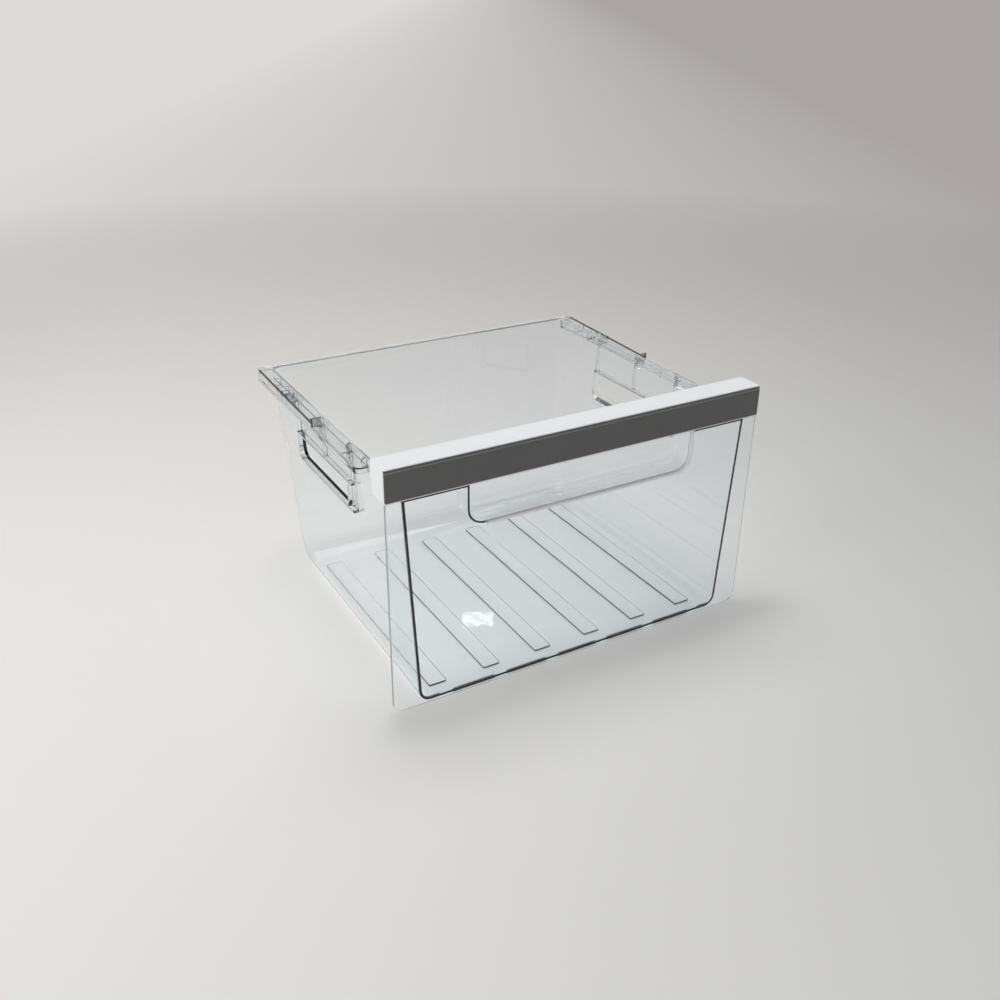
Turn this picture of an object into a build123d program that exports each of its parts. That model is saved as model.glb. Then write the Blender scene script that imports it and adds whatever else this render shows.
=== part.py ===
from build123d import *
import math
import os

# Clear refrigerator drawer: a drafted tub with side runners, a wide front panel
# and a white grip cap that carries a grey trim strip.
#
# Millimetres. X is across the drawer, Y runs from the front face to the back and Z is up.
# The origin is at the middle of the footprint, on the surface that the drawer stands on.
# Lengths named "set" are measured backwards from the front face of the grip cap, and
# lengths named "end margin" inwards from an end of the cap.

# ---- overall -------------------------------------------------------------------------
overall_width = 420.0
overall_depth = 350.0
overall_height = 257.0
cap_height = 33.0
cap_depth = 28.6

# ---- clear mouldings -----------------------------------------------------------------
wall = 2.4                    # tub wall
fine_wall = 2.2               # pocket, rail and collar walls
rib_thickness = 2.0
seat_gap = 0.3                # clearance between pieces that are pushed together

# ---- front panel ---------------------------------------------------------------------
panel_thickness = 2.8
panel_setback = 0.6           # panel face behind the cap face
panel_side_reveal = 0.2       # panel edge inside the cap end
panel_corner = 11.0
panel_round = 0.9             # rounding of the panel's front edges
cut_out_round = 2.4           # rounding of the panel's front edge around the pocket

# ---- tub -----------------------------------------------------------------------------
runner_height = 2.2
rim_rise = 12.0               # rim above the cap's lower edge
rail_inset = 4.2              # rail's outer face inside the cap's end
rail_reach = 11.8             # rail's outer face beyond the tub's rim
side_draft = 3.15             # degrees
plan_taper = 0.3              # degrees, the tub narrows towards the back
back_draft = 6.3              # degrees
tub_corner = 12.0
back_sweep = 34.0             # radius between the floor and the back wall
back_lip = 3.0
lip_thickness = 2.4
rim_round = 1.1               # rounding of the rim's inner edge

# ---- floor runners -------------------------------------------------------------------
runner_count = 6
runner_width = 19.0
runner_side_margin = 19.0     # floor's edge to the outer runner
runner_front_set = 22.0
runner_back_margin = 3.0
runner_corner = 1.5

# ---- finger pocket -------------------------------------------------------------------
pocket_end_margin = 84.0
pocket_depth = 42.0           # pocket's floor below the cap's lower edge
pocket_corner = 16.0
pocket_sweep = 8.0            # radius between the pocket's floor and its back wall

# ---- shelf under the cap -------------------------------------------------------------
shelf_lip_drop = 8.0
hook_end_margins = (62.0, 32.0)
hook_width = 8.0
hook_stem = 2.4
hook_catch = 1.4
hook_set = 14.0               # front face of a hook stem
hook_tail = 3.6               # barb length below the shelf

# ---- side rails ----------------------------------------------------------------------
flange_drop = 9.2             # upper face of the rail flange below the rim
rail_front_set = 74.0
rail_front_corner = 7.0
edge_drop = 2.1               # rail's outer edge below the flange
edge_fall = 1.6               # further fall of that edge towards the front
channel_front_set = 185.0
channel_wall_drop = 0.4       # channel wall below the tub rim, at the back
channel_wall_fall = 4.6       # further fall of the channel wall towards the front
corner_cup_length = 9.0
corner_cup_width = 15.8
corner_cup_radius = 5.0
corner_cup_opening = 9.4      # rear wall of the corner cup, from the rail's outer face
d_rib_sets = (76.0, 113.0)
fin_sets = (113.0, 185.0, 259.0)
fin_reach = 6.0               # fin beyond the rim where it meets the flange
fin_flare = 9.0               # height of the curve at the top of a fin
stop_count = 3
stop_pitch = 12.0
stop_back_margin = 57.0       # last stop in front of the corner cup
channel_rib_margin = 30.0     # plain rib in front of the corner cup
rib_bulge = 5.0
web_reach = 34.0
web_height = 5.0
web_thickness = 1.8

# ---- side hand holds -----------------------------------------------------------------
hold_front_set = 125.0
hold_length = 133.0
hold_drop = 34.1              # top of the hold below the flange
hold_height = 27.5
hold_corner = 9.0
hold_top_corner = 3.0
collar_reach = 0.8            # collar beyond the rim
collar_flare = 4.5            # how far the collar spreads where it meets the wall
ledge_overhang = 0.9

# ---- grip cap ------------------------------------------------------------------------
cap_wall = 2.2
cap_front_wall = 3.4
cap_edge = 0.8
cap_rib_depth = 6.0
cap_rib_thickness = 1.6
cap_rib_end_margins = (150.0, 92.0, 47.0, 16.0)

# ---- trim strip ----------------------------------------------------------------------
trim_thickness = 1.2
tape_thickness = 0.4
trim_margin = 0.9             # white edge left above and below the recess
trim_gap = 0.15
trim_band = 3.1               # set-back band along the strip's upper edge
trim_band_fall = 0.8
trim_bevel = 0.6              # bevel between the band and the strip's face
tape_margin = 3.0

# ---- modelling -----------------------------------------------------------------------
overcut = 1.0                 # how far a cutting tool runs past the face that it cuts
quarter_turn = 90             # degrees

# ---- derived places ------------------------------------------------------------------
front_y = -overall_depth / 2
half_width = overall_width / 2
cap_bottom = overall_height - cap_height
panel_back = panel_setback + panel_thickness
floor_under = runner_height
shelf_top = cap_bottom - seat_gap
shelf_under = shelf_top - wall
rim_height = cap_bottom + rim_rise
back_wall_set = overall_depth - back_lip
rail_half_width = half_width - rail_inset
rim_half_width = rail_half_width - rail_reach
flange_height = rim_height - flange_drop
flange_under = flange_height - fine_wall
edge_under = flange_under - edge_drop
channel_wall_top = rim_height - channel_wall_drop
cup_front_set = overall_depth - corner_cup_length
pocket_half_width = half_width - pocket_end_margin
pocket_floor = cap_bottom - pocket_depth
hold_top = flange_under - hold_drop
hold_floor = hold_top - hold_height
collar_half_width = rim_half_width + collar_reach
hook_places = [half_width - margin for margin in hook_end_margins]
stop_sets = [cup_front_set - stop_back_margin - i * stop_pitch for i in reversed(range(stop_count))]


def at(setback):
    """Y of a point that lies the given distance behind the cap's front face."""
    return front_y + setback


def block(x0, x1, set0, set1, z0, z1):
    """Box between two X values, two setbacks and two heights."""
    centre = ((x0 + x1) / 2, at((set0 + set1) / 2), (z0 + z1) / 2)
    return Pos(*centre) * Box(x1 - x0, set1 - set0, z1 - z0)


def both_sides(solid):
    """A right-hand detail with its left-hand mirror image."""
    return solid + mirror(solid, about=Plane.YZ)


def front_view(setback):
    """Plane of a front view, X to the right and Z up, that faces forwards."""
    return Plane(origin=(0, at(setback), 0), x_dir=(1, 0, 0), z_dir=(0, -1, 0))


def side_wall_x(setback, height):
    """Outer face of the right-hand side wall at a setback and a height."""
    fall = math.tan(math.radians(side_draft)) * (rim_height - height)
    return rim_half_width - fall - math.tan(math.radians(plan_taper)) * setback


# ---- tub -----------------------------------------------------------------------------
def side_plane(inset, side):
    """Plane of a side wall's outer face, or of a parallel face further in."""
    slope = math.tan(math.radians(side_draft))
    taper = math.tan(math.radians(plan_taper))
    normal = Vector(side, taper, -slope).normalized()
    on_wall = Vector(side * rim_half_width, front_y, rim_height)
    return Plane(origin=on_wall - normal * inset, z_dir=normal)


def drafted_body(inset, front, top):
    """The tub's outer form, or its hollow when the inset is the wall thickness."""
    lean = math.radians(back_draft)
    floor = floor_under + inset
    rim_back = back_wall_set - inset / math.cos(lean)
    floor_back = rim_back - math.tan(lean) * (rim_height - floor)
    top_back = rim_back + math.tan(lean) * (top - rim_height)
    outline = Polygon(
        (at(front), floor), (at(floor_back), floor), (at(top_back), top), (at(front), top), align=None
    )
    sweep = outline.vertices().sort_by_distance((at(floor_back), floor))[0]
    outline = fillet(sweep, back_sweep - inset)
    body = extrude(Plane.YZ * outline, amount=half_width, both=True)
    for side in (-1, 1):
        body = split(body, bisect_by=side_plane(inset, side), keep=Keep.BOTTOM)
    for end in (0, -1):
        flank = body.faces().sort_by(Axis.X)[end]
        open_edge = (top - overcut, at(front) + overcut)
        run = flank.edges().filter_by(lambda e: e.center().Z < open_edge[0] and e.center().Y > open_edge[1])
        body = fillet(run, tub_corner - inset)
    return body


def floor_runners():
    """Pads under the floor that the drawer stands and slides on."""
    lean = math.radians(back_draft)
    floor_back = back_wall_set - math.tan(lean) * (rim_height - floor_under)
    flat_end = floor_back - back_sweep * math.tan((math.pi / 2 - lean) / 2)
    length = flat_end - runner_back_margin - runner_front_set
    middle = at(runner_front_set + length / 2)
    outermost = side_wall_x(0, floor_under) - runner_side_margin - runner_width / 2
    pitch = 2 * outermost / (runner_count - 1)
    pad = extrude(RectangleRounded(runner_width, length, runner_corner), amount=floor_under + wall / 2)
    return [Pos(i * pitch - outermost, middle, 0) * pad for i in range(runner_count)]


def pocket_outline(grow, top):
    """Front view of the finger pocket, rounded at its lower corners."""
    width = 2 * (pocket_half_width + grow)
    bottom = pocket_floor - grow
    shape = Pos(0, (bottom + top) / 2) * Rectangle(width, top - bottom)
    low = shape.vertices().group_by(Axis.Y)[0]
    return fillet(low, pocket_corner + grow)


def pocket_form(grow, front, top):
    """Solid of the pocket's outside or of its hollow, swept up into the back wall."""
    back = cap_depth - fine_wall + grow
    form = extrude(front_view(front) * pocket_outline(grow, top), amount=front - back)
    rear = form.faces().sort_by(Axis.Y)[-1]
    run = rear.edges().filter_by(lambda e: e.center().Z < top - overcut)
    return fillet(run, pocket_sweep + grow)


def cap_shelf():
    """Shelf between the pocket and each side wall, with slots for the cap's hooks."""
    inner = pocket_half_width + fine_wall / 2
    outer = side_wall_x(0, shelf_under) - wall / 2
    shelf = block(inner, outer, panel_back, cap_depth, shelf_under, shelf_top)
    lip_low = shelf_under - shelf_lip_drop
    lip_outer = side_wall_x(0, lip_low) - wall / 2
    shelf += block(inner, lip_outer, cap_depth - fine_wall, cap_depth, lip_low, shelf_top)
    for x in hook_places:
        half = hook_width / 2 + 2 * seat_gap
        front = hook_set - seat_gap
        back = hook_set + hook_stem + hook_catch + seat_gap
        shelf -= block(x - half, x + half, front, back, shelf_under - overcut, shelf_top + overcut)
    return both_sides(shelf)


# ---- side rails ----------------------------------------------------------------------
def cross_plate(outline, setback):
    """Plate of rib thickness across the drawer, from a front-view outline."""
    return extrude(front_view(setback) * outline, amount=rib_thickness / 2, both=True)


def rail_plan(inset):
    """Plan of a rail with rounded outer corners, or of its hollow when inset."""
    inner = rail_half_width - corner_cup_width
    length = overall_depth - rail_front_set - 2 * inset
    centre = ((inner + rail_half_width - inset) / 2, at((rail_front_set + overall_depth) / 2))
    plan = Pos(*centre) * Rectangle(rail_half_width - inset - inner, length)
    outer_corners = plan.vertices().group_by(Axis.X)[-1].sort_by(Axis.Y)
    plan = fillet(outer_corners[0], rail_front_corner - inset)
    outer_corners = plan.vertices().sort_by_distance((rail_half_width, at(overall_depth)))
    return fillet(outer_corners[0], corner_cup_radius - inset)


def rail_edge():
    """Outer wall of a rail: its top falls towards the front and its foot hangs below the flange."""
    ring = rail_plan(0) - rail_plan(fine_wall)
    wall_up = Pos(0, 0, edge_under - edge_fall) * extrude(ring, amount=rim_height - edge_under + edge_fall)
    back = overall_depth + overcut
    outline = Polygon(
        (at(rail_front_set - overcut), edge_under - edge_fall), (at(channel_front_set), edge_under),
        (at(back), edge_under), (at(back), rim_height), (at(cup_front_set), rim_height),
        (at(cup_front_set), channel_wall_top), (at(channel_front_set), channel_wall_top - channel_wall_fall),
        (at(channel_front_set), flange_height), (at(rail_front_set - overcut), flange_height), align=None,
    )
    edge = wall_up & extrude(Plane.YZ * outline, amount=half_width)
    opening_end = rail_half_width - corner_cup_opening
    return edge - block(0, opening_end, cup_front_set + fine_wall, back, 0, rim_height - lip_thickness)


def stop_windows(inner):
    """Windows through the flange between the stops."""
    outer = rail_half_width - 2 * fine_wall
    low, high = flange_under - overcut, flange_height + overcut
    return [
        block(inner, outer, near + rib_thickness, following - rib_thickness, low, high)
        for near, following in zip(stop_sets, stop_sets[1:])
    ]


def d_rib(setback):
    """Rounded rib that stands on the flange against the tub's side wall."""
    root = side_wall_x(setback, rim_height)
    low = flange_height - fine_wall / 2
    inside = root - wall / 2
    bulge = ThreePointArc((root, low), (root + rib_bulge, (low + rim_height) / 2), (root, rim_height))
    closing = Polyline((root, rim_height), (inside, rim_height), (inside, low), (root, low))
    return cross_plate(make_face(bulge + closing), setback)


def fin(setback, foot):
    """Rib from the flange down the tub's side, flared where it meets the flange."""
    root = side_wall_x(setback, foot) - wall / 2
    top = rim_half_width + fin_reach
    foot_x = collar_half_width - seat_gap
    waist = flange_under - fin_flare
    flare = EllipticalCenterArc(
        (top, waist), top - foot_x, fin_flare, start_angle=quarter_turn, arc_size=quarter_turn
    )
    sides = Polyline(flare @ 1, (foot_x, foot), (root, foot), (root, flange_under), flare @ 0)
    return cross_plate(make_face(flare + sides), setback)


def curved_web(setback):
    """Low web under the flange, curving forward from a rib's root to the flange edge."""
    root = (side_wall_x(setback, flange_under) - wall / 4, at(setback))
    tip = (rail_half_width - web_thickness, at(setback - web_reach))
    path = EllipticalCenterArc(
        (root[0], tip[1]), tip[0] - root[0], root[1] - tip[1], start_angle=0, arc_size=quarter_turn
    )
    strip = trace(path, line_width=web_thickness)
    return Pos(0, 0, flange_under - web_height) * extrude(strip, amount=web_height + fine_wall / 2)


def rail():
    """Right-hand rail: flange, edge, open channel with stops, ribs and corner cup."""
    inner = rail_half_width - corner_cup_width
    outer = rail_half_width - fine_wall / 2
    plan = rail_plan(0)
    flange = Pos(0, 0, flange_under) * extrude(plan, amount=fine_wall)
    flange &= block(inner, rail_half_width, rail_front_set, cup_front_set + fine_wall / 2, 0, rim_height)
    for window in stop_windows(side_wall_x(stop_sets[0], flange_height) + rib_thickness):
        flange -= window
    body = flange + rail_edge()
    low = flange_height - fine_wall / 2
    for setback in stop_sets + [cup_front_set - channel_rib_margin]:
        half = rib_thickness / 2
        body += block(inner, outer, setback - half, setback + half, low, channel_wall_top - overcut)
    front_plate = (channel_front_set - rib_thickness / 2, channel_front_set + rib_thickness / 2)
    body += block(inner, rail_half_width, *front_plate, low, channel_wall_top)
    body += block(inner, outer, cup_front_set, cup_front_set + fine_wall, flange_under, rim_height)
    cup_top = extrude(plan, amount=lip_thickness)
    body += Pos(0, 0, rim_height - lip_thickness) * cup_top & block(
        inner, rail_half_width, cup_front_set, overall_depth, rim_height - lip_thickness, rim_height
    )
    for setback in d_rib_sets:
        body += d_rib(setback)
    for setback in fin_sets[:-1]:
        body += curved_web(setback)
    body += fin(fin_sets[0], hold_floor - fine_wall)
    for setback in fin_sets[1:]:
        body += fin(setback, hold_top + fine_wall / 2)
    return body


# ---- side hand holds -----------------------------------------------------------------
def hold_outline(grow):
    """Side view of a hand hold, with larger corners below than above."""
    length = hold_length + 2 * grow
    height = hold_height + 2 * grow
    centre = (at(hold_front_set + hold_length / 2), hold_floor + hold_height / 2)
    shape = Pos(*centre) * Rectangle(length, height)
    shape = fillet(shape.vertices().group_by(Axis.Y)[0], hold_corner + grow)
    return fillet(shape.vertices().group_by(Axis.Y)[-1], hold_top_corner + grow)


def hold_collar():
    """Collar that stands out around a hand hold, with a sill in front and a ledge on top."""
    root = side_wall_x(hold_front_set, hold_floor)
    inner = root - wall / 2
    rim = Pos(collar_half_width, 0, 0) * (Plane.YZ * hold_outline(fine_wall))
    foot = Pos(inner, 0, 0) * (Plane.YZ * hold_outline(fine_wall + collar_flare))
    ring = loft([foot, rim], ruled=True) & block(0, half_width, 0, overall_depth, 0, hold_top + fine_wall)
    front = fin_sets[0] - rib_thickness / 2
    sill_end = hold_front_set + hold_corner
    sill = block(inner, collar_half_width, front, sill_end, hold_floor - fine_wall, hold_floor)
    ledge = block(
        inner, collar_half_width + ledge_overhang, front,
        hold_front_set + hold_length + fine_wall, hold_top, hold_top + fine_wall,
    )
    return ring + sill + ledge


def hold_cut():
    """Hole through a side wall and its collar."""
    reach = 2 * tub_corner + wall
    start = rim_half_width - reach
    return Pos(start, 0, 0) * extrude(Plane.YZ * hold_outline(0), amount=2 * reach)


def rounded_rim(tub):
    """The tub with the inner edge of its rim rounded."""
    inside = rim_half_width - wall / 2
    runs = tub.edges().filter_by(
        lambda e: e.length > overall_depth / 2 and abs(e.center().Z - rim_height) < seat_gap
        and rim_half_width - 2 * wall < abs(e.center().X) < inside
    )
    return fillet(runs, rim_round)


def drawer_tub():
    """Clear tub, moulded with its runners, rails, hand holds and finger pocket."""
    hollow = drafted_body(wall, panel_back - overcut, rim_height + overcut)
    tub = drafted_body(0, panel_back, rim_height)
    tub += floor_runners()
    lip_half = rail_half_width - corner_cup_width + overcut
    lip_low = rim_height - lip_thickness
    tub += block(-lip_half, lip_half, back_wall_set - wall, overall_depth, lip_low, rim_height)
    tub += both_sides(rail() + hold_collar())
    tub -= hollow
    tub = rounded_rim(tub)
    tub -= both_sides(hold_cut())
    under_cap = cap_depth + 2 * seat_gap
    tub -= block(-half_width, half_width, 0, under_cap, shelf_top, rim_height + overcut)
    tub += cap_shelf()
    tub += pocket_form(fine_wall, panel_back, shelf_top)
    return tub - pocket_form(0, 0, overall_height)


# ---- front panel ---------------------------------------------------------------------
def on_cut_out(edge):
    """Whether an edge of the panel's front face runs around the pocket's cut-out."""
    place = edge.center()
    return abs(place.X) < pocket_half_width + 2 * cut_out_round and place.Z > overcut


def rounded_front(panel, chosen, radius):
    """The panel with the chosen edges of its front face rounded below the shelf."""
    face = panel.faces().sort_by(Axis.Y)[0]
    below_shelf = face.edges().filter_by(lambda e: e.center().Z < shelf_top - overcut)
    return fillet(below_shelf.filter_by(chosen), radius)


def front_panel():
    """Clear front panel, wider than the tub, cut away around the finger pocket."""
    width = 2 * (half_width - panel_side_reveal)
    plate = Pos(0, shelf_top / 2) * Rectangle(width, shelf_top)
    plate = fillet(plate.vertices().group_by(Axis.Y)[0], panel_corner)
    plate -= pocket_outline(0, overall_height)
    panel = extrude(front_view(panel_setback) * plate, amount=-panel_thickness)
    panel = rounded_front(panel, on_cut_out, cut_out_round)
    return rounded_front(panel, lambda e: not on_cut_out(e), panel_round)


# ---- grip cap ------------------------------------------------------------------------
def cap_hook(x):
    """Snap hook that drops from the cap through a slot in the shelf."""
    stem_back = hook_set + hook_stem
    catch_z = shelf_under - seat_gap
    low = catch_z - hook_tail
    tip = hook_set - hook_catch
    high = overall_height - cap_wall / 2
    outline = Polygon(
        (at(hook_set), high), (at(hook_set), catch_z), (at(tip), catch_z), (at(hook_set), low),
        (at(stem_back), low), (at(stem_back), high), align=None,
    )
    return Pos(x, 0, 0) * extrude(Plane.YZ * outline, amount=hook_width / 2, both=True)


def cap_rib(x):
    """Rib under the cap's top, from its front wall to its back wall."""
    half = cap_rib_thickness / 2
    low = overall_height - cap_wall - cap_rib_depth
    front = cap_front_wall - cap_wall / 2
    return block(x - half, x + half, front, cap_depth - cap_wall / 2, low, overall_height - cap_wall / 2)


def trim_recess(depth):
    """Box over the strip's place, deep from the cap face and open at both ends."""
    half = half_width + overcut
    return block(-half, half, -overcut, depth, cap_bottom + trim_margin, overall_height - trim_margin)


def handle_cap():
    """White cap over the drawer's front edge, hollow below, with ribs and snap hooks."""
    shell = block(-half_width, half_width, 0, cap_depth, cap_bottom, overall_height)
    top_edges = shell.faces().sort_by(Axis.Z)[-1].edges()
    ends = shell.edges().filter_by(Axis.Z)
    shell = fillet(top_edges + ends, cap_edge)
    shell -= block(
        cap_wall - half_width, half_width - cap_wall, cap_front_wall, cap_depth - cap_wall,
        cap_bottom - overcut, overall_height - cap_wall,
    )
    shell -= trim_recess(trim_thickness + tape_thickness)
    shell += cap_rib(0)
    for margin in cap_rib_end_margins:
        shell += both_sides(cap_rib(half_width - margin))
    for x in hook_places:
        shell += both_sides(cap_hook(x))
    return shell


# ---- trim ----------------------------------------------------------------------------
def trim_strip():
    """Grey strip in the cap's front recess, with a set-back band along its upper edge."""
    low = cap_bottom + trim_margin + trim_gap
    high = overall_height - trim_margin - trim_gap
    step = high - trim_band
    outline = Polygon(
        (at(0), low), (at(trim_thickness), low), (at(trim_thickness), high), (at(trim_band_fall), high),
        (at(trim_bevel), step + trim_bevel), (at(0), step), align=None,
    )
    half = half_width - trim_gap
    return extrude(Plane.YZ * outline, amount=half, both=True)


def trim_tape():
    """Double-sided tape between the strip and the floor of its recess."""
    half = half_width - trim_margin - tape_margin
    low = cap_bottom + trim_margin + tape_margin
    high = overall_height - trim_margin - tape_margin
    return block(-half, half, trim_thickness, trim_thickness + tape_thickness, low, high)


NODES = {
    "drawer_tub": drawer_tub,
    "front_panel": front_panel,
    "handle_cap": handle_cap,
    "trim_strip": trim_strip,
    "trim_tape": trim_tape,
}

os.makedirs("parts", exist_ok=True)
for node, make in NODES.items():
    export_step(make(), f"parts/{node}.step")
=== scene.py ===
"""Looks of a clear refrigerator drawer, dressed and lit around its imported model.

Lengths are in metres and angles in degrees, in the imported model's own frame: X to the
right seen from the front, Y towards the back and Z up from the surface it stands on.
"""

import logging
import math
from dataclasses import dataclass, field
from enum import Enum
from typing import Any, Mapping, Optional, Sequence, Union

import bmesh
import bpy
from mathutils import Matrix, Quaternion, Vector

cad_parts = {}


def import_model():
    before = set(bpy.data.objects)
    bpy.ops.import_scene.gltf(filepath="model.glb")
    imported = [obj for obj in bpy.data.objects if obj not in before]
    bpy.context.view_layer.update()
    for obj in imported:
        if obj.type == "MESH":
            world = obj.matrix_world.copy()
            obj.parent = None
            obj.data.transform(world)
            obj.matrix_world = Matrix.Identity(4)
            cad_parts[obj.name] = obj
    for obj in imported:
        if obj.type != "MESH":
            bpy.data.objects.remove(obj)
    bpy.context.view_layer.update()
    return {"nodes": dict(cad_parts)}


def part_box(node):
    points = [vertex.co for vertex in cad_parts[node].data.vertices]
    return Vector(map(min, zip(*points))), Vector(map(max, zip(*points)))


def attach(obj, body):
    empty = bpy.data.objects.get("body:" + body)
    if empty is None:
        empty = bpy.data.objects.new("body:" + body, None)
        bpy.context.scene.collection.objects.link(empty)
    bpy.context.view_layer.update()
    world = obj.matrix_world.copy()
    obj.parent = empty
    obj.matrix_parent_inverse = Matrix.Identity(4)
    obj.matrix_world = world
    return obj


LOG = logging.getLogger("drawer")
MM = 0.001
RUNNER_PITCH = 61 * MM
Pair = tuple[float, float]
Triple = tuple[float, float, float]


class Ray(Enum):
    """Kinds of ray that a shader can tell apart."""

    CAMERA = "Is Camera Ray"
    GLOSSY = "Is Glossy Ray"
    TRANSMISSION = "Is Transmission Ray"
    SHADOW = "Is Shadow Ray"


class Slot(Enum):
    """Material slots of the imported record."""

    CLEAR = "clear_plastic"
    WHITE = "white_plastic"
    GREY = "grey_trim"
    TAPE = "adhesive_tape"


# ---- node trees ------------------------------------------------------------------------
class Wire:
    """An output socket that Python's arithmetic works on."""

    def __init__(self, graph: "Graph", socket: Optional[bpy.types.NodeSocket]) -> None:
        """Keep the socket and the tree that its sums are added to.

        Args:
            graph: Tree that holds the socket.
            socket: The output socket, or None behind a node that has none.
        """
        self.graph = graph
        self.socket = socket

    def _sum(self, operation: str, first: "Operand", second: "Operand") -> "Wire":
        """Add a Math node.

        Args:
            operation: Math operation.
            first: Left operand.
            second: Right operand.

        Returns:
            The node's value.
        """
        return self.graph.node("ShaderNodeMath", {"operation": operation}, {0: first, 1: second})

    def __add__(self, other: "Operand") -> "Wire":
        """Return self + other."""
        return self._sum("ADD", self, other)

    __radd__ = __add__

    def __sub__(self, other: "Operand") -> "Wire":
        """Return self - other."""
        return self._sum("SUBTRACT", self, other)

    def __rsub__(self, other: "Operand") -> "Wire":
        """Return other - self."""
        return self._sum("SUBTRACT", other, self)

    def __mul__(self, other: "Operand") -> "Wire":
        """Return self * other."""
        return self._sum("MULTIPLY", self, other)

    __rmul__ = __mul__

    def __abs__(self) -> "Wire":
        """Return the value without its sign."""
        return self._sum("ABSOLUTE", self, 0.0)

    def __or__(self, other: "Operand") -> "Wire":
        """Return the larger of two values, which joins two masks."""
        return self._sum("MAXIMUM", self, other)

    def root(self) -> "Wire":
        """Return the square root."""
        return self._sum("SQRT", self, 0.0)

    def ping_pong(self, reach: float) -> "Wire":
        """Return the distance to the nearest odd multiple of a length, on both sides of it."""
        return self._sum("PINGPONG", self - reach, reach)

    def wrapped(self, length: float) -> "Wire":
        """Return the value's place within a repeated length."""
        return self.graph.node("ShaderNodeMath", {"operation": "WRAP"}, {0: self, 1: length, 2: 0.0})

    def clamped(self) -> "Wire":
        """Return the value held between 0 and 1."""
        return self.graph.node("ShaderNodeClamp", inputs={"Value": self})

    def ramp(self, low: float, high: float) -> "Wire":
        """Stretch a range of the value to 0 to 1.

        Args:
            low: Value that becomes 0.
            high: Value that becomes 1.

        Returns:
            The stretched value, held between 0 and 1.
        """
        return ((self - low) * (1 / (high - low))).clamped()

    def between(self, low: float, high: float, soft: float = 0.2 * MM) -> "Wire":
        """Mask a range of the value.

        Args:
            low: Where the range begins.
            high: Where it ends.
            soft: Width of the fade outside each end.

        Returns:
            1 inside the range and 0 outside.
        """
        return self.ramp(low - soft, low) * (1 - self.ramp(high, high + soft))


Operand = Union[Wire, float]


class Graph:
    """A node tree that one method fills."""

    def __init__(self, tree: bpy.types.NodeTree) -> None:
        """Empty the tree.

        Args:
            tree: Tree of a material, a world or a geometry group.
        """
        self.tree = tree
        tree.nodes.clear()

    def node(
        self,
        kind: str,
        settings: Optional[Mapping[str, Any]] = None,
        inputs: Optional[Mapping[Union[int, str], Any]] = None,
        output: Union[int, str] = 0,
    ) -> Wire:
        """Add a node, set it up and connect it.

        Args:
            kind: Node type.
            settings: Properties, set first. "stops" fills a colour ramp with (place, colour).
            inputs: Values or wires by socket name or number.
            output: Output to return.

        Returns:
            The chosen output.
        """
        made = self.tree.nodes.new(kind)
        for name, value in (settings or {}).items():
            if name == "stops":
                self._fill_ramp(made.color_ramp, value)
            else:
                setattr(made, name, value)
        for key, value in (inputs or {}).items():
            if isinstance(value, Wire):
                self.tree.links.new(value.socket, made.inputs[key])
            else:
                made.inputs[key].default_value = value
        return Wire(self, made.outputs[output] if made.outputs else None)

    @staticmethod
    def _fill_ramp(ramp: bpy.types.ColorRamp, stops: Sequence[tuple[float, Triple]]) -> None:
        """Give a colour ramp its stops.

        Args:
            ramp: The ramp, with its two first stops.
            stops: (place, colour) pairs, two or more, in rising order.
        """
        for _ in stops[2:]:
            ramp.elements.new(1.0)
        for element, (place, colour) in zip(ramp.elements, stops):
            element.position = place
            element.color = rgba(colour)

    def mix_colour(self, factor: Operand, first: Any, second: Any) -> Wire:
        """Blend two colours.

        Args:
            factor: 0 for the first colour, 1 for the second.
            first: Colour or wire.
            second: Colour or wire.

        Returns:
            The blended colour.
        """
        return self.node("ShaderNodeMix", {"data_type": "RGBA"}, {0: factor, 6: first, 7: second}, output=2)

    def ray(self, kind: Ray) -> Wire:
        """Return 1 for rays of one kind and 0 for others."""
        return self.node("ShaderNodeLightPath", output=kind.value)

    def place(self) -> Wire:
        """Return the object coordinates."""
        return self.node("ShaderNodeTexCoord", output="Object")

    def along(self, axis: str) -> Wire:
        """Return one object coordinate."""
        return self.node("ShaderNodeSeparateXYZ", inputs={0: self.place()}, output=axis)

    def noise(self, scale: float, detail: float = 2.0, stretch: Triple = (1, 1, 1)) -> Wire:
        """Add noise on object coordinates.

        Args:
            scale: Features per metre.
            detail: Octaves.
            stretch: Scale of the coordinates along each axis.

        Returns:
            Noise from 0 to 1.
        """
        mapped = self.node("ShaderNodeMapping", inputs={"Vector": self.place(), "Scale": stretch})
        return self.node("ShaderNodeTexNoise", inputs={"Vector": mapped, "Scale": scale, "Detail": detail})

    def bump(self, height: Wire, depth: float, normal: Optional[Wire] = None) -> Wire:
        """Turn a height into a normal.

        Args:
            height: Height from 0 to 1.
            depth: Real height that 1 stands for.
            normal: Normal underneath.

        Returns:
            The bumped normal.
        """
        inputs = {"Height": height, "Distance": depth, "Strength": 1.0}
        if normal:
            inputs["Normal"] = normal
        return self.node("ShaderNodeBump", inputs=inputs)


def rgba(colour: Triple) -> tuple[float, float, float, float]:
    """Return a colour with full alpha."""
    return (*colour, 1.0)


def new_material(name: str) -> tuple[bpy.types.Material, Graph]:
    """Make an empty node material.

    Args:
        name: Material name.

    Returns:
        The material and its graph.
    """
    material = bpy.data.materials.new(name)
    material.use_nodes = True
    return material, Graph(material.node_tree)


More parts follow.
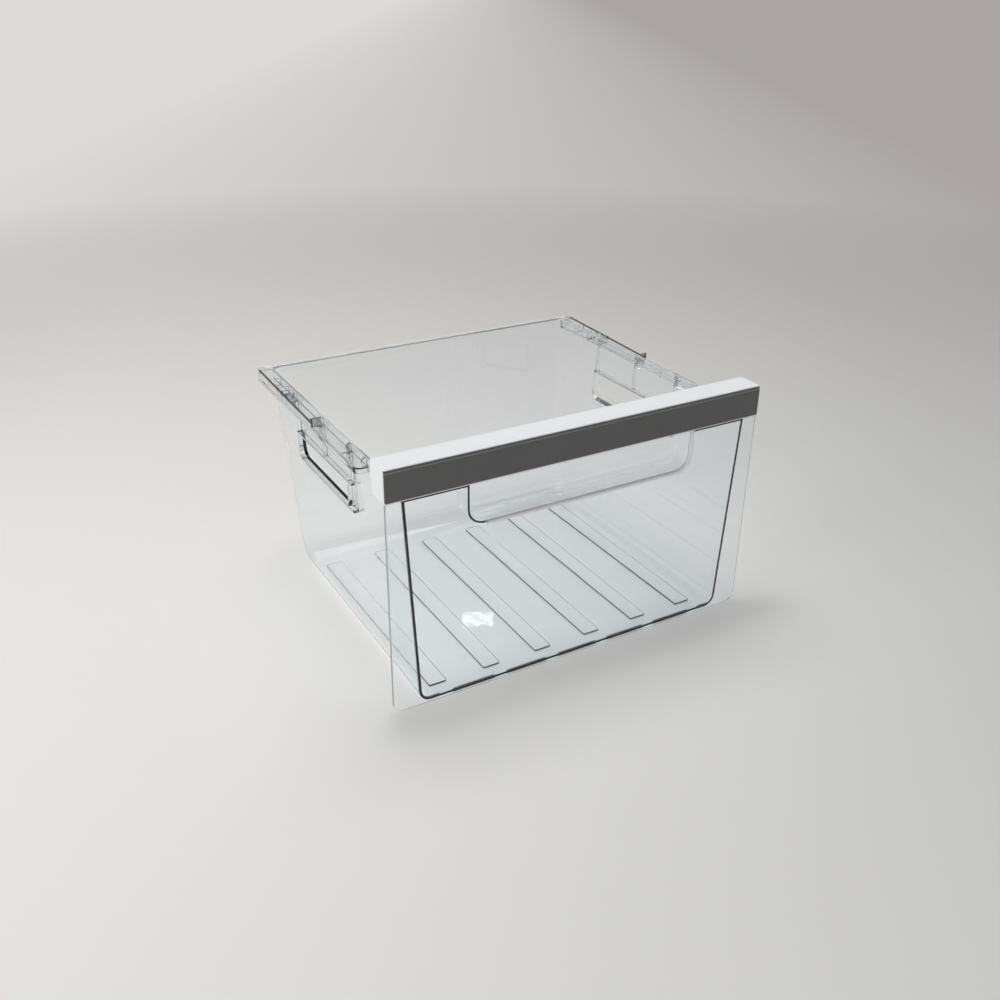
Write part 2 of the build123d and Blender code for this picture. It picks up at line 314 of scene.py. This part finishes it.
# ---- finishes --------------------------------------------------------------------------
@dataclass(frozen=True)
class Edges:
    """Places on the clear mouldings where an edge gets a painted pale or dark line.

    The rims, the side edges of the panel and its fold into the finger pocket get a painted
    highlight. The weld, the runners' left edges, the heads of the fins, the channel's outer wall
    and the corner cups get painted shade, a near-black line. A pair holds where a place or a fade
    begins and where it ends.
    """

    # Painted highlight: the pocket fold, the rims and the panel's side edges.
    fold_half_width: float = 110 * MM
    fold_corner_height: float = 198 * MM
    fold_radius: Pair = (15.4 * MM, 18.8 * MM)
    fold_fade_in: Pair = (-112 * MM, -106 * MM)
    fold_back: Pair = (-171.9 * MM, -171.7 * MM)
    rim_width: Pair = (188.6 * MM, 194.4 * MM)
    rim_height: Pair = (234.1 * MM, 234.4 * MM)
    back_rim: Pair = (169 * MM, 170 * MM)
    panel_side: Pair = (208.9 * MM, 209.1 * MM)
    rim_share: float = 0.28
    # Painted shade: the weld line, the runners' edges, the channel's outer wall, the fin heads and the corner
    # cups.
    wall_foot: float = 181.0 * MM
    wall_slope: float = 0.05503
    wall: float = 2.4 * MM
    floor_height: float = 2.2 * MM
    corner: float = 12 * MM
    panel_back: float = -171.6 * MM
    weld_soft: float = 0.05 * MM
    gap: Pair = (7 * MM, 8 * MM)
    gap_top: Pair = (5 * MM, 6 * MM)
    weld_shade_depth: float = 1.9 * MM
    weld_shade_end: Pair = (172 * MM, 174 * MM)
    weld_shade_reach: Pair = (-2.4 * MM, 0.15 * MM)
    weld_shade_soft: float = 0.3 * MM
    runner_left: Pair = (20.4 * MM, 21.3 * MM)
    runner_width: Pair = (20.8 * MM, 40.2 * MM)
    runner_front: Pair = (-153.6 * MM, -152.6 * MM)
    runner_length: Pair = (-153.6 * MM, 113 * MM)
    runner_top: Pair = (1.8 * MM, 2.0 * MM)
    runner_share: float = 0.8
    channel_wall: Pair = (203.5 * MM, 206 * MM)
    channel_run: Pair = (10 * MM, 166 * MM)
    channel_top: float = 230.7 * MM
    channel_slope: float = 0.0295
    channel_lip: Pair = (-0.9 * MM, -0.6 * MM)
    fin_places: Triple = (-62 * MM, 10 * MM, 84 * MM)
    fin_half: float = 1.2 * MM
    fin_head: Pair = (194.6 * MM, 203 * MM)
    fin_heights: Pair = (221 * MM, 237 * MM)
    fin_share: float = 0.35
    cup_corner: Pair = (376.7 * MM, 377 * MM)
    cup_share: float = 0.4

    def _fold(self, x: Wire, y: Wire, z: Wire) -> Wire:
        """Mask the panel's fold into the finger pocket for a painted highlight, fading out before its left
        end.
        """
        across = (abs(x) - self.fold_half_width) | 0.0
        down = (self.fold_corner_height - z) | 0.0
        around = (across * across + down * down).root().between(*self.fold_radius)
        return around * (1 - y.ramp(*self.fold_back)) * x.ramp(*self.fold_fade_in)

    def _weld(self, x: Wire, y: Wire, z: Wire) -> Wire:
        """Mask the tub's front edge, which is welded to the panel, for a painted dark line of shade, with a
        gap at each runner.
        """
        from_side = (self.corner - self.wall_foot - self.wall_slope * z + abs(x)) | 0.0
        from_floor = (self.corner + self.floor_height - z) | 0.0
        depth = self.corner - (from_side * from_side + from_floor * from_floor).root()
        from_runner = x.ping_pong(RUNNER_PITCH / 2)
        open_gap = (1 - from_runner.ramp(*self.gap)) * (1 - z.ramp(*self.gap_top))
        behind = y - self.panel_back - self.weld_shade_depth * (1 - x.ramp(*self.weld_shade_end))
        seam = depth.between(0.0, self.wall, self.weld_soft) * (1 - open_gap)
        return seam * behind.between(*self.weld_shade_reach, self.weld_shade_soft)

    def _runners(self, x: Wire, y: Wire, z: Wire) -> Wire:
        """Mask the left edge and the front end of each floor runner for painted shade."""
        side = x.wrapped(RUNNER_PITCH)
        left = side.between(*self.runner_left) * y.between(*self.runner_length)
        front = side.between(*self.runner_width) * y.between(*self.runner_front)
        return (left | front) * (1 - z.ramp(*self.runner_top)) * self.runner_share

    def _rails(self, x: Wire, y: Wire, z: Wire) -> Wire:
        """Mask the channel's outer wall, the corner cups and the heads of the fins for painted shade."""
        side = abs(x)
        over_top = z - self.channel_slope * (y - self.channel_run[0]) - self.channel_top
        outer_wall = side.between(*self.channel_wall) * y.between(*self.channel_run)
        channel = over_top.ramp(*self.channel_lip) * outer_wall
        cups = (side + y).ramp(*self.cup_corner) * self.cup_share
        front, middle, back = (y.between(at - self.fin_half, at + self.fin_half) for at in self.fin_places)
        heads = (front | middle | back) * side.between(*self.fin_head) * z.between(*self.fin_heights)
        return channel | cups | heads * self.fin_share

    def pale(self, graph: "Graph") -> Wire:
        """Mask the edges that get a painted highlight.

        Args:
            graph: The material's graph.

        Returns:
            How strong their painted highlight is, and 0 elsewhere.
        """
        x, y, z = (graph.along(axis) for axis in "XYZ")
        rims = (abs(x).between(*self.rim_width) | y.ramp(*self.back_rim)) * z.ramp(*self.rim_height)
        return (rims | abs(x).ramp(*self.panel_side)) * self.rim_share | self._fold(x, y, z)

    def dark(self, graph: "Graph") -> Wire:
        """Mask the edges that get painted shade, a near-black line.

        Args:
            graph: The material's graph.

        Returns:
            How strong their painted shade is, and 0 elsewhere.
        """
        x, y, z = (graph.along(axis) for axis in "XYZ")
        return self._weld(x, y, z) | self._runners(x, y, z) | self._rails(x, y, z)


@dataclass(frozen=True)
class ClearPlastic:
    """Polished clear polystyrene with the slight waviness of a large moulding, and pale and near-black lines
    painted on some edges as painted highlight and painted shade.
    """

    slot: Slot = Slot.CLEAR
    tint: Triple = (0.957, 0.977, 0.99)
    refraction: float = 1.57
    lamp_share: Triple = (0.84, 0.85, 0.86)
    edge_radius: float = 0.9 * MM
    edge_samples: int = 4
    wave_scale: float = 22.0
    wave_depth: float = 0.09 * MM
    ripple_scale: float = 110.0
    ripple_depth: float = 0.016 * MM
    haze: float = 0.03
    haze_scale: float = 9.0
    haze_spread: Pair = (0.55, 0.75)
    edges: Edges = field(default_factory=Edges)
    # Painted highlight (pale) and painted shade (near-black): diffuse coats mixed over the clear body on the
    # lines that Edges marks.
    painted_highlight_colour: Triple = (0.94, 0.955, 0.965)
    painted_highlight_share: float = 0.95
    painted_shade_colour: Triple = (0.012, 0.015, 0.018)
    painted_shade_share: float = 0.85
    line_roughness: float = 0.3

    def material(self) -> bpy.types.Material:
        """Build the finish.

        Returns:
            The material.
        """
        material, graph = new_material(self.slot.value)
        rounded = graph.node("ShaderNodeBevel", {"samples": self.edge_samples}, {"Radius": self.edge_radius})
        waves = graph.bump(graph.noise(self.wave_scale, detail=1.0), self.wave_depth, rounded)
        ripples = graph.bump(graph.noise(self.ripple_scale, detail=1.0), self.ripple_depth, waves)
        smudges = graph.noise(self.haze_scale, detail=3.0).ramp(*self.haze_spread)
        body = graph.node(
            "ShaderNodeBsdfPrincipled",
            inputs={
                "Base Color": rgba(self.tint),
                "IOR": self.refraction,
                "Transmission Weight": 1.0,
                "Roughness": smudges * self.haze,
                "Normal": ripples,
            },
        )
        # Paint the edge lines: a pale coat as painted highlight, then a near-black coat as painted shade.
        for colour, share in (
            (self.painted_highlight_colour, self.edges.pale(graph) * self.painted_highlight_share),
            (self.painted_shade_colour, self.edges.dark(graph) * self.painted_shade_share),
        ):
            line = graph.node(
                "ShaderNodeBsdfPrincipled",
                inputs={"Base Color": rgba(colour), "Roughness": self.line_roughness},
            )
            body = graph.node("ShaderNodeMixShader", inputs={0: share, 1: body, 2: line})
        lamps_through = graph.node("ShaderNodeBsdfTransparent", inputs={"Color": rgba(self.lamp_share)})
        in_shadow = graph.ray(Ray.SHADOW)
        mixed = graph.node("ShaderNodeMixShader", inputs={0: in_shadow, 1: body, 2: lamps_through})
        graph.node("ShaderNodeOutputMaterial", inputs={"Surface": mixed})
        return material


@dataclass(frozen=True)
class SatinPlastic:
    """Opaque moulded plastic with a fine grain, a faint mottle and, where given, a painted highlight line."""

    slot: Slot
    colour: Triple
    mottle: float = 0.03
    mottle_scale: float = 14.0
    roughness: float = 0.34
    roughness_spread: float = 0.08
    grain_scale: float = 1500.0
    grain_depth: float = 0.012 * MM
    stretch: Triple = (1, 1, 1)
    # A band of heights painted another colour: a painted highlight line.
    line: Optional[Pair] = None
    line_soft: float = 0.05 * MM
    highlight_line_colour: Triple = (0, 0, 0)

    def material(self) -> bpy.types.Material:
        """Build the finish.

        Returns:
            The material.
        """
        material, graph = new_material(self.slot.value)
        cloud = graph.noise(self.mottle_scale, detail=4.0)
        grain = graph.noise(self.grain_scale, detail=2.0, stretch=self.stretch)
        light = rgba(self.colour)
        dark = rgba(tuple(channel * (1 - self.mottle) for channel in self.colour))
        colour = graph.mix_colour(cloud, light, dark)
        # Paint the highlight line across its band of heights.
        if self.line:
            on_line = graph.along("Z").between(*self.line, self.line_soft)
            colour = graph.mix_colour(on_line, colour, rgba(self.highlight_line_colour))
        body = graph.node(
            "ShaderNodeBsdfPrincipled",
            inputs={
                "Base Color": colour,
                "Roughness": self.roughness + self.roughness_spread * grain,
                "Normal": graph.bump(grain, self.grain_depth),
            },
        )
        graph.node("ShaderNodeOutputMaterial", inputs={"Surface": body})
        return material


@dataclass(frozen=True)
class FoamTape:
    """Closed-cell foam of a double-sided tape."""

    slot: Slot = Slot.TAPE
    colour: Triple = (0.72, 0.72, 0.69)
    pore_colour: Triple = (0.55, 0.55, 0.52)
    cell_scale: float = 1600.0
    cell_depth: float = 0.05 * MM
    roughness: float = 0.85

    def material(self) -> bpy.types.Material:
        """Build the finish.

        Returns:
            The material.
        """
        material, graph = new_material(self.slot.value)
        cells = graph.node("ShaderNodeTexVoronoi", inputs={"Vector": graph.place(), "Scale": self.cell_scale})
        body = graph.node(
            "ShaderNodeBsdfPrincipled",
            inputs={
                "Base Color": graph.mix_colour(cells, rgba(self.pore_colour), rgba(self.colour)),
                "Roughness": self.roughness,
                "Normal": graph.bump(cells, self.cell_depth),
            },
        )
        graph.node("ShaderNodeOutputMaterial", inputs={"Surface": body})
        return material


# ---- pieces ----------------------------------------------------------------------------
def dress(piece: bpy.types.Object, material: bpy.types.Material) -> None:
    """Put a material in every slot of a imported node.

    Args:
        piece: The node's object.
        material: Its finish.
    """
    for slot in piece.material_slots:
        slot.material = material
    LOG.info("%s dressed in %s", piece.name, material.name)


@dataclass(frozen=True)
class WeldShadePaint:
    """Near-black glossy coat on the weld beads: painted shade that makes them read as a dark line through the
    panel.
    """

    slot: Slot = Slot.CLEAR
    # Painted shade: near-black.
    colour: Triple = (0.012, 0.015, 0.02)
    roughness: float = 0.2

    def material(self) -> bpy.types.Material:
        """Build the finish.

        Returns:
            The material.
        """
        material, graph = new_material("weld_painted_shade")
        body = graph.node(
            "ShaderNodeBsdfPrincipled", inputs={"Base Color": rgba(self.colour), "Roughness": self.roughness}
        )
        graph.node("ShaderNodeOutputMaterial", inputs={"Surface": body})
        return material


@dataclass
class PanelWeld:
    """Weld beads along the foot of the front panel, painted near-black as painted shade so that they read
    through it as a dark line, with a gap under each runner.
    """

    name: str = "panel_weld"
    pitch: float = RUNNER_PITCH
    seams: int = 5
    seam_length: float = 47 * MM
    radius: float = 0.5 * MM
    rise: float = 2.3 * MM
    sides: int = 12
    finish: WeldShadePaint = field(default_factory=WeldShadePaint)

    def _tree(self) -> tuple[bpy.types.GeometryNodeTree, dict[str, str]]:
        """Build the node group that lays the seams.

        Returns:
            The group and the identifiers of its inputs by name.
        """
        tree = bpy.data.node_groups.new(self.name, "GeometryNodeTree")
        graph = Graph(tree)
        tree.interface.new_socket("Geometry", in_out="OUTPUT", socket_type="NodeSocketGeometry")
        kinds = {
            "Pitch": "Float", "Seams": "Int", "Length": "Float", "Radius": "Float", "Material": "Material",
        }
        keys = {
            name: tree.interface.new_socket(name, in_out="INPUT", socket_type="NodeSocket" + kind).identifier
            for name, kind in kinds.items()
        }
        given = {name: graph.node("NodeGroupInput", output=name) for name in kinds}
        start = graph.node("ShaderNodeCombineXYZ", inputs={"X": (given["Seams"] - 1) * given["Pitch"] * -0.5})
        step = graph.node("ShaderNodeCombineXYZ", inputs={"X": given["Pitch"]})
        line = graph.node(
            "GeometryNodeMeshLine", {"mode": "OFFSET"},
            {"Count": given["Seams"], "Start Location": start, "Offset": step},
        )
        bar = graph.node(
            "GeometryNodeMeshCylinder",
            inputs={"Vertices": self.sides, "Radius": given["Radius"], "Depth": given["Length"]},
        )
        laid = graph.node(
            "GeometryNodeInstanceOnPoints",
            inputs={"Points": line, "Instance": bar, "Rotation": (0.0, math.pi / 2, 0.0)},
        )
        solid = graph.node("GeometryNodeRealizeInstances", inputs={"Geometry": laid})
        finished = graph.node(
            "GeometryNodeSetMaterial", inputs={"Geometry": solid, "Material": given["Material"]}
        )
        graph.node("NodeGroupOutput", inputs={"Geometry": finished})
        return tree, keys

    def build(self) -> bpy.types.Object:
        """Lay the seams in the corner between the panel's back and the tub's floor.

        Returns:
            The piece, as a plain mesh.
        """
        tree, keys = self._tree()
        carrier = bpy.data.objects.new(self.name + "_carrier", bpy.data.meshes.new(self.name))
        bpy.context.scene.collection.objects.link(carrier)
        modifier = carrier.modifiers.new("seams", "NODES")
        modifier.node_group = tree
        values = {
            "Pitch": self.pitch, "Seams": self.seams, "Length": self.seam_length, "Radius": self.radius,
            "Material": self.finish.material(),
        }
        for name, value in values.items():
            modifier[keys[name]] = value
        evaluated = carrier.evaluated_get(bpy.context.evaluated_depsgraph_get())
        mesh = bpy.data.meshes.new_from_object(evaluated)
        panel_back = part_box("front_panel")[1].y
        mesh.transform(Matrix.Translation((0, panel_back + self.radius, self.rise - self.radius)))
        bpy.data.objects.remove(carrier)
        piece = bpy.data.objects.new(self.name, mesh)
        bpy.context.scene.collection.objects.link(piece)
        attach(piece, "root")
        LOG.info("%s has %d faces", piece.name, len(mesh.polygons))
        return piece


@dataclass
class ClearBody:
    """The tub, the front panel and the weld that joins them."""

    finish: ClearPlastic = field(default_factory=ClearPlastic)
    weld: PanelWeld = field(default_factory=PanelWeld)

    def build(self, nodes: Mapping[str, bpy.types.Object]) -> None:
        """Dress the mouldings and lay the weld.

        Args:
            nodes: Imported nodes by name.
        """
        material = self.finish.material()
        for name in ("drawer_tub", "front_panel"):
            dress(nodes[name], material)
        self.weld.build()


@dataclass
class GripBar:
    """The white cap with its grey strip and the tape behind it."""

    cap: SatinPlastic = field(default_factory=lambda: SatinPlastic(Slot.WHITE, (0.86, 0.875, 0.885)))
    strip: SatinPlastic = field(
        default_factory=lambda: SatinPlastic(
            Slot.GREY, (0.125, 0.125, 0.125), mottle=0.12, mottle_scale=30.0, roughness=0.42,
            roughness_spread=0.1, grain_scale=900.0, grain_depth=0.006 * MM, stretch=(0.02, 1, 1),
            # A lighter line painted under the strip's top edge: a painted highlight along its bead.
            line=(252.6 * MM, 253.6 * MM), highlight_line_colour=(0.3, 0.3, 0.3),
        )
    )
    tape: FoamTape = field(default_factory=FoamTape)

    def build(self, nodes: Mapping[str, bpy.types.Object]) -> None:
        """Dress the three pieces.

        Args:
            nodes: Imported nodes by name.
        """
        dress(nodes["handle_cap"], self.cap.material())
        dress(nodes["trim_strip"], self.strip.material())
        dress(nodes["trim_tape"], self.tape.material())


# ---- studio ----------------------------------------------------------------------------
@dataclass(frozen=True)
class SoftBox:
    """A rectangular lamp.

    Its gleam is the share of its glow that reflections show, which keeps a large lamp from
    standing as a white sheet on a polished floor. Its glow is uneven where it has blotches.
    """

    name: str
    place: Triple
    aim: Triple
    width: float
    height: float
    power: float
    gleam: float = 1.0
    blotches: float = 0.0
    blotch_edge: Pair = (0.25, 0.62)

    def build(self) -> None:
        """Hang the lamp, and in the same place a twin with the share of its glow that no reflection shows."""
        self._hang(self.name, self.power * self.gleam, mirrored=True)
        if self.gleam < 1:
            self._hang(self.name + "_fill", self.power * (1 - self.gleam), mirrored=False)

    def _hang(self, name: str, power: float, mirrored: bool) -> None:
        """Hang one lamp.

        Args:
            name: Its name.
            power: Its power in watts.
            mirrored: Whether reflections show it.
        """
        lamp = bpy.data.lights.new(name, "AREA")
        lamp.shape = "RECTANGLE"
        lamp.size, lamp.size_y, lamp.energy = self.width, self.height, power
        if self.blotches:
            lamp.use_nodes = True
            graph = Graph(lamp.node_tree)
            spread = graph.node("ShaderNodeNewGeometry", output="Parametric")
            patches = graph.node("ShaderNodeTexNoise", inputs={"Vector": spread, "Scale": self.blotches})
            glow = graph.node("ShaderNodeEmission", inputs={"Strength": patches.ramp(*self.blotch_edge)})
            graph.node("ShaderNodeOutputLight", inputs={"Surface": glow})
        holder = bpy.data.objects.new(name, lamp)
        bpy.context.scene.collection.objects.link(holder)
        holder.location = self.place
        holder.rotation_mode = "QUATERNION"
        holder.rotation_quaternion = (Vector(self.place) - Vector(self.aim)).to_track_quat("Z", "Y")
        holder.visible_glossy = mirrored


@dataclass(frozen=True)
class ViewCamera:
    """Camera in front of the drawer, to the left and above."""

    place: Triple = (-0.5315, -0.9226, 0.6436)
    aim: Triple = (0.0064, 0.0006, 0.0974)
    roll: float = 0.58
    lens: float = 38.26
    sensor: float = 36.0

    def build(self) -> None:
        """Set the scene's camera."""
        data = bpy.data.cameras.new("camera")
        data.sensor_width, data.lens = self.sensor, self.lens
        camera = bpy.data.objects.new("camera", data)
        bpy.context.scene.collection.objects.link(camera)
        camera.location = self.place
        level = (Vector(self.aim) - Vector(self.place)).to_track_quat("-Z", "Y")
        camera.rotation_mode = "QUATERNION"
        camera.rotation_quaternion = level @ Quaternion((0, 0, 1), math.radians(self.roll))
        bpy.context.scene.camera = camera


@dataclass(frozen=True)
class PaleFloor:
    """Pale floor with painted light and shade, lighter at the left and darker at the right.

    Far off it runs out into a backdrop that glows for camera, glossy and transmission rays, painted lighter
    at the left and darker at the right.
    """

    half_size: float = 30.0
    drop: float = 0.2 * MM
    # Painted light and shade: the lit floor's colour, lighter at the left and darker at the right.
    near_left: Triple = (0.9, 0.885, 0.845)
    near_right: Triple = (0.69, 0.69, 0.68)
    roughness: float = 0.6
    # Painted backdrop glow, lighter at the left and darker at the right.
    far_left: Triple = (0.715, 0.7, 0.69)
    far_right: Triple = (0.4, 0.375, 0.365)
    across: Triple = (0.866, -0.5, 0)
    ahead: Triple = (0.5, 0.866, 0)
    ahead_fade: float = 0.5
    near_reach: float = 0.7
    far_reach: float = 1.6
    fade_start: float = 0.5
    fade_end: float = 2.4

    def build(self) -> None:
        """Lay the floor."""
        mesh = bpy.data.meshes.new("floor")
        grid = bmesh.new()
        bmesh.ops.create_grid(grid, x_segments=2, y_segments=2, size=self.half_size)
        grid.to_mesh(mesh)
        grid.free()
        floor = bpy.data.objects.new("floor", mesh)
        bpy.context.scene.collection.objects.link(floor)
        floor.location.z = -self.drop
        mesh.materials.append(self._material())

    def _material(self) -> bpy.types.Material:
        """Build the floor's finish.

        Returns:
            The material.
        """
        material, graph = new_material("pale_floor")
        place = graph.place()
        distance = graph.node("ShaderNodeVectorMath", {"operation": "LENGTH"}, {0: place}, output="Value")
        dot_product = {"operation": "DOT_PRODUCT"}
        across, ahead = (
            graph.node("ShaderNodeVectorMath", dot_product, {0: place, 1: way}, output="Value")
            for way in (self.across, self.ahead)
        )
        near_side = across.ramp(-self.near_reach, self.near_reach)
        beyond = ahead.ramp(-self.ahead_fade, self.ahead_fade)
        far_side = across.ramp(-self.far_reach, self.far_reach) * beyond
        # Painted light and shade across the lit floor.
        near = graph.mix_colour(near_side, rgba(self.near_left), rgba(self.near_right))
        lit = graph.node("ShaderNodeBsdfPrincipled", inputs={"Base Color": near, "Roughness": self.roughness})
        # Painted backdrop glow far off, lighter at the left.
        glow = graph.node(
            "ShaderNodeEmission",
            inputs={"Color": graph.mix_colour(far_side, rgba(self.far_left), rgba(self.far_right))},
        )
        seen = graph.ray(Ray.CAMERA) + graph.ray(Ray.GLOSSY) + graph.ray(Ray.TRANSMISSION)
        far = distance.ramp(self.fade_start, self.fade_end) * seen.clamped()
        mixed = graph.node("ShaderNodeMixShader", inputs={0: far, 1: lit, 2: glow})
        graph.node("ShaderNodeOutputMaterial", inputs={"Surface": mixed})
        return material


@dataclass(frozen=True)
class Room:
    """Soft light of a pale room with a darker ceiling."""

    stops: tuple[tuple[float, Triple], ...] = (
        (0.0, (0.74, 0.74, 0.73)),
        (0.3, (0.66, 0.66, 0.66)),
        (0.48, (0.07, 0.07, 0.075)),
        (1.0, (0.03, 0.03, 0.033)),
    )

    def build(self) -> None:
        """Set the world."""
        world = bpy.data.worlds.new("room")
        bpy.context.scene.world = world
        world.use_nodes = True
        graph = Graph(world.node_tree)
        direction = graph.node("ShaderNodeTexCoord", output="Generated")
        height = graph.node("ShaderNodeSeparateXYZ", inputs={0: direction}, output="Z")
        colour = graph.node("ShaderNodeValToRGB", {"stops": self.stops}, {"Fac": height})
        light = graph.node("ShaderNodeBackground", inputs={"Color": colour})
        graph.node("ShaderNodeOutputWorld", inputs={"Surface": light})


@dataclass
class Studio:
    """Floor, room light, lamps and camera."""

    lamps: tuple[SoftBox, ...] = (
        SoftBox("top_lamp", (0.1, 0.3, 2.2), (0, 0, 0.1), 1.6, 1.2, 30.5, gleam=0.4),
        SoftBox("spark_lamp", (-0.1, 0.15, 2.0), (0, 0, 0.1), 0.3, 0.3, 4.5),
        SoftBox("left_lamp", (-2.2, -0.3, 1.3), (0, 0, 0.1), 1.2, 1.2, 26.0, gleam=0.55),
        SoftBox(
            "glint_lamp", (0.541, 1.022, 0.831), (-0.0635, -0.0746, 0.0046), 0.075, 0.035, 0.03, blotches=2.5,
        ),
    )
    bounces: int = 96
    layers_through: int = 48

    def build(self) -> None:
        """Build the whole studio."""
        PaleFloor().build()
        Room().build()
        for lamp in self.lamps:
            lamp.build()
        ViewCamera().build()
        bpy.context.scene.view_settings.view_transform = "Standard"
        light_paths = bpy.context.scene.cycles
        light_paths.max_bounces = light_paths.transmission_bounces = self.bounces
        light_paths.transparent_max_bounces = self.layers_through
        LOG.info("studio with %d lamps", len(self.lamps))


def main() -> None:
    """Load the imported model, dress it and set up the studio."""
    logging.basicConfig(level=logging.INFO, format="%(name)s: %(message)s")
    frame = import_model()
    ClearBody().build(frame["nodes"])
    GripBar().build(frame["nodes"])
    Studio().build()


if __name__ == "__main__":
    main()
